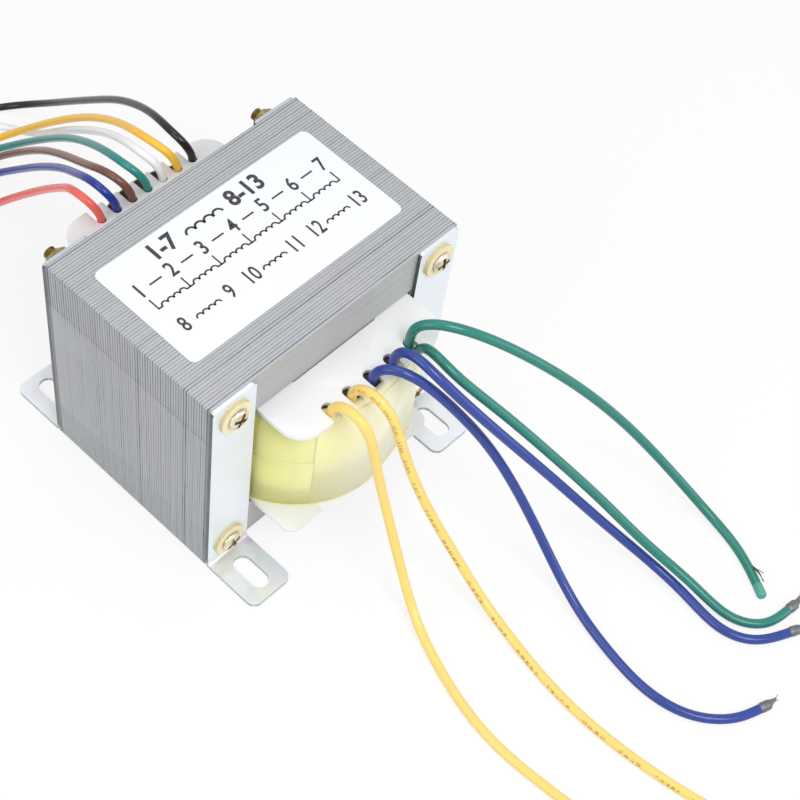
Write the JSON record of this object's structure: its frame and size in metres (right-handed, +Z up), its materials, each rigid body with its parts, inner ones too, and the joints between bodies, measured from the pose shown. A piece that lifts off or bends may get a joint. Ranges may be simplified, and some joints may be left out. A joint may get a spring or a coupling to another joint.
{
  "type": "laminated chassis transformer",
  "caption": "Mains transformer with an interleaved laminated E-I core, taped coil on a notched bobbin, slotted bolt-down feet and colour-coded flying leads.",
  "frame": {"origin": "centre of the footprint of the core and feet, on the underside of the feet", "axes": "+X along the stack towards the face where the heavy front leads leave, +Y across the core, +Z up"},
  "size_m": [0.3636, 0.1296, 0.0806],
  "materials": {
    "core_steel": "satin cut edges, smooth faces",
    "bobbin_nylon": "milky moulded nylon",
    "enamelled_copper": "enamelled copper wire",
    "coil_tape": "polyester tape",
    "zinc_plated_steel": "bright zinc plating",
    "brassy_plating": "yellow passivated zinc",
    "washer_fibre": "pressed fibre",
    "label_film": "white film, printed",
    "tinned_strands": "dull tinned copper",
    "front_yellow_pvc": "PVC insulation",
    "front_blue_pvc": "PVC insulation",
    "front_green_pvc": "PVC insulation",
    "rear_red_pvc": "PVC insulation",
    "rear_blue_pvc": "PVC insulation",
    "rear_brown_pvc": "PVC insulation",
    "rear_green_pvc": "PVC insulation",
    "rear_white_pvc": "PVC insulation",
    "rear_yellow_pvc": "PVC insulation",
    "rear_black_pvc": "PVC insulation"
  },
  "bodies": {
    "root": {"e_laminations": "core_steel", "i_laminations": "core_steel", "bobbin": "bobbin_nylon", "primary_winding": "enamelled_copper", "winding_insulation": "coil_tape", "secondary_winding": "enamelled_copper", "coil_tape": "coil_tape", "front_left_foot": "zinc_plated_steel", "front_right_foot": "zinc_plated_steel", "rear_left_foot": "zinc_plated_steel", "rear_right_foot": "zinc_plated_steel", "clamp_bolts": "brassy_plating", "fibre_washers": "washer_fibre", "clamp_nuts": "brassy_plating", "rating_label": "label_film", "front_yellow_lead_1": "front_yellow_pvc", "front_yellow_lead_2": "front_yellow_pvc", "front_blue_lead_1": "front_blue_pvc", "front_blue_lead_2": "front_blue_pvc", "front_green_lead_1": "front_green_pvc", "front_green_lead_2": "front_green_pvc", "blue_1_tinned_tip": "tinned_strands", "blue_2_tinned_tip": "tinned_strands", "green_2_tinned_tip": "tinned_strands", "rear_red_lead": "rear_red_pvc", "rear_blue_lead": "rear_blue_pvc", "rear_brown_lead": "rear_brown_pvc", "rear_green_lead": "rear_green_pvc", "rear_white_lead": "rear_white_pvc", "rear_yellow_lead": "rear_yellow_pvc", "rear_black_lead": "rear_black_pvc"}
  },
  "joints": []
}
